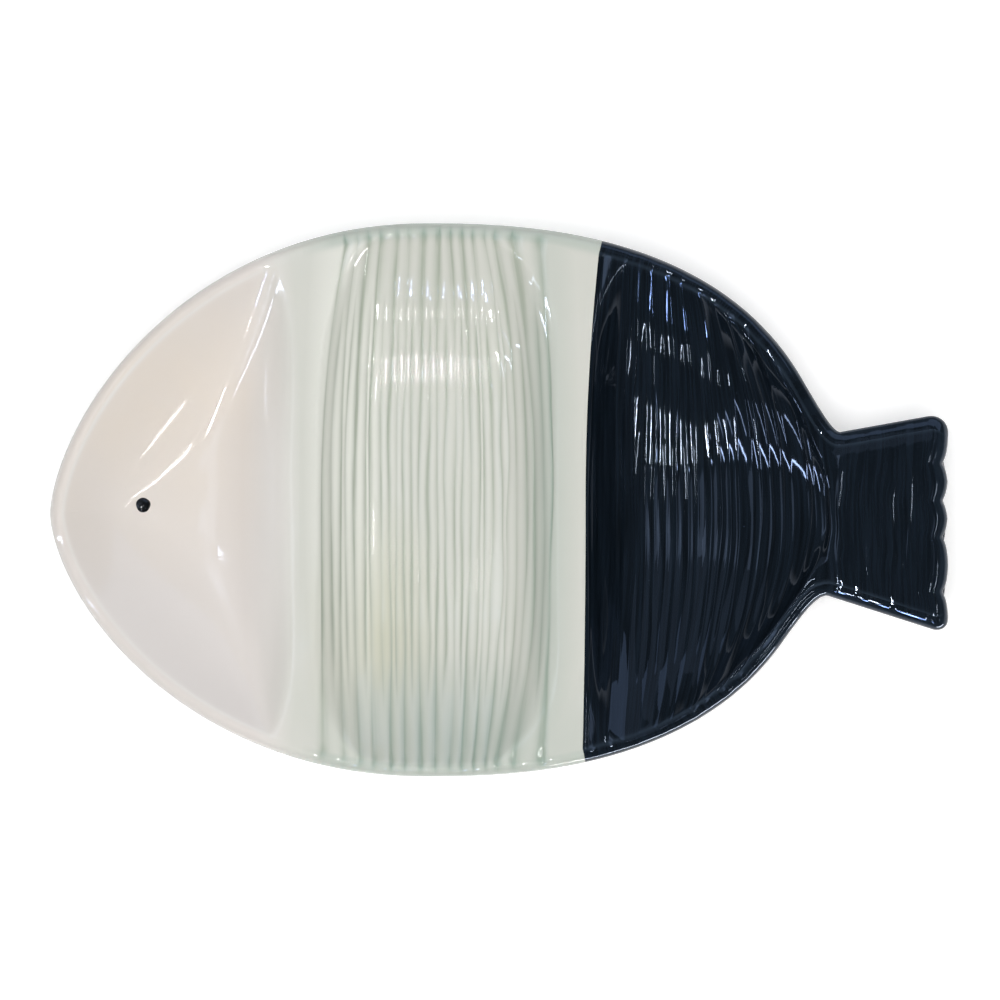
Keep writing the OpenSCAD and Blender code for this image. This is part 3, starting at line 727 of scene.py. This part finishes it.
# At the rim the strokes are swept towards the middle of the bowl, and those on the left lean with the neck.
PULL_CLOSE, LEAN_FADE = 10, 3
spread = (q - (MIDDLE + HIP) / 2) / ((HIP - MIDDLE) / 2)
pull = spread * (1 - spread ** PULL_CLOSE)
bowl_part = {"q": q, "bend": np.full_like(q, MIDDLE_BEND)}
neck_part = divider_columns(HEAD_END, MIDDLE, NECK_COLUMNS)
for side in (1, -1):
    bowl_part[side] = q - np.where(spread < 0, SWEEP[side][0], SWEEP[side][1]) * pull
    bowl_part[side] += NECK_LEAN[side] * ((1 - spread) / 2) ** LEAN_FADE
    neck_part[side] = neck_part[side] + NECK_LEAN[side] * np.linspace(0, 1, NECK_COLUMNS)
neck_part["bend"] = np.full(NECK_COLUMNS, MIDDLE_BEND)
hip_part = divider_columns(HIP, REAR, HIP_COLUMNS, HIP_LEAN)
middle_part = join_columns(neck_part, bowl_part, hip_part)
comb(middle_part, cell, MIDDLE_COMB, MIDDLE_ON_RIM, MIDDLE_BITE, NECK_COLUMNS, HIP_COLUMNS)
middle_mesh = skin_mesh("middle_celadon_glaze", middle_part, full_plan(34))
place(middle_mesh, celadon_glaze(), "middle_glaze", "celadon_glaze", GLAZE)


# Navy glaze of the rear bowl and the tail fin: a dark cobalt and iron glaze over the same combed clay. It is
# nearly black where it is thick, and blue-grey over the rim and the fin's edges, partly where it runs thin and
# partly a painted sheen of what those edges mirror.
REAR_GROOVES, REAR_JITTER, REAR_COMB, REAR_ON_RIM, REAR_BITE = 22, 0.25, 0.42, 0.12, 1.2
FIN_STROKES, FIN_JITTER, FIN_COMB = 11, 0.3, 0.08
SHOULDER_COLUMNS, RIDGE_COLUMNS, LIP_COLUMNS = 3, 8, 8
NAVY, NAVY_STREAK, NAVY_THIN_EDGE_SHEEN, NAVY_GLOSS = "#0B1117", "#17202A", "#303C49", "#D3E2FA"


def navy_glaze():
    """Cobalt and iron glaze: deep, glossy and nearly black, breaking to blue-grey on edges, partly as a painted
    sheen.
    """
    material, tree, shader, place_at = new_material("navy_cobalt_glaze")
    cloud = add(tree, "TexNoise", {"Vector": place_at, "Scale": 1 / (18 * MM), "Detail": 4})
    drawn = streaks(tree, place_at, 1.4, 40)
    lines = add(tree, "MapRange", {"Value": drawn, "From Min": 0.3, "From Max": 0.7})
    body = add(tree, "Mix", {FACTOR: lines.outputs[0], FIRST: colour(NAVY), SECOND: colour(NAVY_STREAK)},
               data_type="RGBA")
    # Blue-grey on the edges: partly the glaze running thin, partly a painted sheen that stands in for the rim's
    # reflection.
    thin = add(tree, "Attribute", attribute_name="thin")
    thin_and_sheen = add(tree, "Math", {0: thin.outputs["Fac"], 1: cloud.outputs["Fac"]}, operation="MULTIPLY")
    rim = add(tree, "Mix", {FACTOR: thin_and_sheen.outputs[0], FIRST: body.outputs[RESULT],
                            SECOND: colour(NAVY_THIN_EDGE_SHEEN)}, data_type="RGBA")
    tree.links.new(rim.outputs[RESULT], shader.inputs["Base Color"])
    tree.links.new(glaze_surface(tree, place_at, drawn, 0.012).outputs["Normal"], shader.inputs["Normal"])
    shader.inputs["Roughness"].default_value = 0.045
    shader.inputs["Specular Tint"].default_value = colour(NAVY_GLOSS)
    return material


rear_q, rear_cell = combed_cells(REAR + 0.8, RIDGE - 0.5, REAR_GROOVES, REAR_JITTER)
rear_q = np.concatenate([np.linspace(REAR, REAR + 0.6, SHOULDER_COLUMNS), rear_q])
rear_part = rear_edges((rear_q - REAR) / (RIDGE - REAR))
ridge_part = divider_columns(RIDGE, FIN, RIDGE_COLUMNS)
ridge_part[1] = ridge_part[1] + RIDGE_WIDTH / 2
fin_q, fin_cell = combed_cells(FIN + 0.5, TAIL - LIP_END, FIN_STROKES, FIN_JITTER)
lip_q = TAIL - LIP_END * (1 - np.sin(np.linspace(0, math.pi / 2, LIP_COLUMNS + 1)[1:]))
fin_part = fin_columns(np.concatenate([fin_q, lip_q]))
tail_part = join_columns(rear_part, ridge_part, fin_part)
tail_cell = np.concatenate([rear_cell, np.full(RIDGE_COLUMNS, REAR_GROOVES + 1), fin_cell + REAR_GROOVES + 1])
tail_depth = np.where(tail_part["q"] > FIN, FIN_COMB, REAR_COMB)
comb(tail_part, tail_cell, tail_depth, REAR_ON_RIM, REAR_BITE, SHOULDER_COLUMNS, LIP_COLUMNS)
tail_mesh = skin_mesh("tail_navy_glaze", tail_part, full_plan(34), close_tail=True)
place(tail_mesh, navy_glaze(), "tail_glaze", "navy_glaze", GLAZE)


# Eye: one drop of black glaze dabbed on the head before firing. It stands up as a small glossy dome with
# a settled edge, and tilts with the rising floor of the bowl.
def black_glaze():
    """Black iron glaze: a glossy bead, clouded with a greyer black."""
    material, tree, shader, place_at = new_material("black_iron_glaze")
    cloud = add(tree, "TexNoise", {"Vector": place_at, "Scale": 1 / (1.5 * MM), "Detail": 3})
    body = add(tree, "Mix", {FACTOR: cloud.outputs["Fac"], FIRST: colour("#07090B"),
                             SECOND: colour("#15181C")}, data_type="RGBA")
    tree.links.new(body.outputs[RESULT], shader.inputs["Base Color"])
    shader.inputs["Roughness"].default_value = 0.08
    return material


EYE_RADIUS, EYE_HEIGHT, EYE_CROWN, EYE_SUNK = (eye_high[1] - eye_low[1]) / 2, 1.2, 0.6, 0.5
EYE_FORWARD, EYE_TILT = 1.1, math.atan(NOSE_SLOPE)
eye_z = CREST_Z - HEAD_DEPTH + nose_rise(EYE - EYE_FORWARD)
bm = bmesh.new()
bmesh.ops.create_uvsphere(bm, u_segments=48, v_segments=24, radius=1)
for vert in bm.verts:
    x, y, z = vert.co
    spread = math.hypot(x, y)
    angle = math.atan2(y, x)
    wave = 1 + 0.025 * math.sin(3 * angle + 0.5) + 0.015 * math.sin(5 * angle)
    tall = EYE_HEIGHT * (1 - spread ** 2) ** EYE_CROWN if z > 0 else -EYE_SUNK * abs(z)
    vert.co = (x * EYE_RADIUS * wave, y * EYE_RADIUS * wave, tall)
bmesh.ops.rotate(bm, verts=bm.verts, matrix=Matrix.Rotation(EYE_TILT, 3, "Y"))
bmesh.ops.translate(bm, verts=bm.verts, vec=(EYE - EYE_FORWARD, EYE_Y, eye_z))
bmesh.ops.scale(bm, verts=bm.verts, vec=(MM, MM, MM))
eye_mesh = bpy.data.meshes.new("eye_drop")
bm.to_mesh(eye_mesh)
bm.free()
eye_mesh.shade_smooth()
place(eye_mesh, black_glaze(), "eye_spot", "black_glaze")


# Studio: a pale floor, a dark ceiling with softboxes round it, and a camera straight above, as in the
# photograph.
scene = bpy.context.scene
scene.view_settings.view_transform = "Standard"
FRAME_WIDTH, CAMERA_HEIGHT, SENSOR = 0.4229, 4.0, 36
AIM_X, AIM_Y = 0.3 * MM, -0.1 * MM

camera = bpy.data.cameras.new("camera")
camera.sensor_width = SENSOR
camera.lens = SENSOR * CAMERA_HEIGHT / FRAME_WIDTH
viewer = bpy.data.objects.new("camera", camera)
viewer.location = (AIM_X, AIM_Y, CAMERA_HEIGHT + EDGE_Z * MM)
scene.collection.objects.link(viewer)
scene.camera = viewer


WATTS = 4


def lamp(name, tilt, turn, distance, across, deep, radiance, tint="#FFFFFF", unseen=""):
    """Softbox at an angle from the vertical, turned round it from -Y, that faces the platter."""
    light = bpy.data.lights.new(name, "AREA")
    light.shape = "RECTANGLE"
    light.size, light.size_y = across, deep
    light.energy = radiance * WATTS * across * deep
    light.color = colour(tint)[:3]
    box = bpy.data.objects.new(name, light)
    tilt, turn = math.radians(tilt), math.radians(turn)
    box.location = (distance * math.sin(tilt) * math.sin(turn), -distance * math.sin(tilt) * math.cos(turn),
                    distance * math.cos(tilt))
    box.rotation_euler = (Matrix.Rotation(turn, 3, "Z") @ Matrix.Rotation(tilt, 3, "X")).to_euler()
    box.visible_camera = False
    box.visible_glossy = unseen != "glossy"
    box.visible_diffuse = unseen != "diffuse"
    scene.collection.objects.link(box)


# The fill lights the colours and isn't mirrored. The strips and panes are what the glaze mirrors, as glints.
lamp("fill", 8, -4, 2.4, 2.2, 2.2, 3.46, "#FFFDFB", unseen="glossy")
lamp("key", 14, -4, 1.6, 0.02, 0.32, 220, unseen="diffuse")
lamp("front_white", 38, -6, 1.8, 0.02, 0.18, 90, unseen="diffuse")
lamp("front_blue", 49, -6, 1.8, 0.03, 0.22, 90, "#B4CBFF", unseen="diffuse")
lamp("high_tube", 43, 50, 1.7, 0.28, 0.012, 55, unseen="diffuse")
lamp("low_tube", 19, 70, 1.7, 0.34, 0.012, 70, unseen="diffuse")
lamp("left_pane", 55, -76, 1.8, 0.03, 1.6, 34, "#CBD8F2", unseen="diffuse")
lamp("left_strip", 52, -60, 1.8, 0.025, 1.4, 16, "#CBD8F2", unseen="diffuse")
lamp("left_card", 21, 260, 1.9, 0.55, 0.45, 0.8, "#CFDEF4", unseen="diffuse")
lamp("rear_panel", 32, 212, 1.9, 1.3, 2.0, 0.25, "#CFDEF4")
lamp("rear_card", 11, 232, 1.9, 0.38, 0.34, 1.3, "#CFDEF4", unseen="diffuse")
lamp("rear_window", 54, 152, 1.8, 1.6, 1.0, 0.95, "#BCD0F0", unseen="diffuse")
lamp("rim_window", 86, 32, 1.8, 1.5, 0.1, 45, unseen="diffuse")

PAPER, PAPER_LIFT, FLOOR_HALF = "#F0F1F2", 0.45, 6


def floor_paper():
    """Matte white paper: it shows white to the camera and in gloss, and keeps the platter's shadow."""
    material = bpy.data.materials.new("white_paper")
    material.use_nodes = True
    tree = material.node_tree
    shader = tree.nodes["Principled BSDF"]
    shader.inputs["Base Color"].default_value = colour(PAPER)
    shader.inputs["Roughness"].default_value = 0.9
    shader.inputs["Specular IOR Level"].default_value = 0
    path = add(tree, "LightPath")
    seen = add(tree, "Math", {0: path.outputs["Is Camera Ray"], 1: path.outputs["Is Glossy Ray"]},
               operation="MAXIMUM")
    seen = add(tree, "Math", {0: seen.outputs[0], 1: path.outputs["Is Transmission Ray"]}, operation="MAXIMUM")
    lift = add(tree, "Math", {0: seen.outputs[0], 1: PAPER_LIFT}, operation="MULTIPLY")
    shader.inputs["Emission Color"].default_value = (1, 1, 1, 1)
    tree.links.new(lift.outputs[0], shader.inputs["Emission Strength"])
    return material


bm = bmesh.new()
bmesh.ops.create_grid(bm, x_segments=8, y_segments=8, size=FLOOR_HALF)
floor_mesh = bpy.data.meshes.new("floor")
bm.to_mesh(floor_mesh)
bm.free()
floor_mesh.materials.append(floor_paper())
floor = bpy.data.objects.new("floor", floor_mesh)
scene.collection.objects.link(floor)
floor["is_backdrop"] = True

# The room: white round the horizon, and dark from a little above it.
HORIZON, CEILING, HORIZON_TOP = 1, 0.04, 0.22
world = bpy.data.worlds.new("studio")
scene.world = world
world.use_nodes = True
tree = world.node_tree
sky = add(tree, "TexCoord").outputs["Generated"]
height = add(tree, "SeparateXYZ", {0: sky})
level = add(tree, "MapRange", {"Value": height.outputs["Z"], "From Min": 0, "From Max": HORIZON_TOP,
                               "To Min": HORIZON, "To Max": CEILING}, interpolation_type="SMOOTHSTEP")
tree.links.new(level.outputs[0], tree.nodes["Background"].inputs["Strength"])
tree.nodes["Background"].inputs["Color"].default_value = (1, 1, 1, 1)
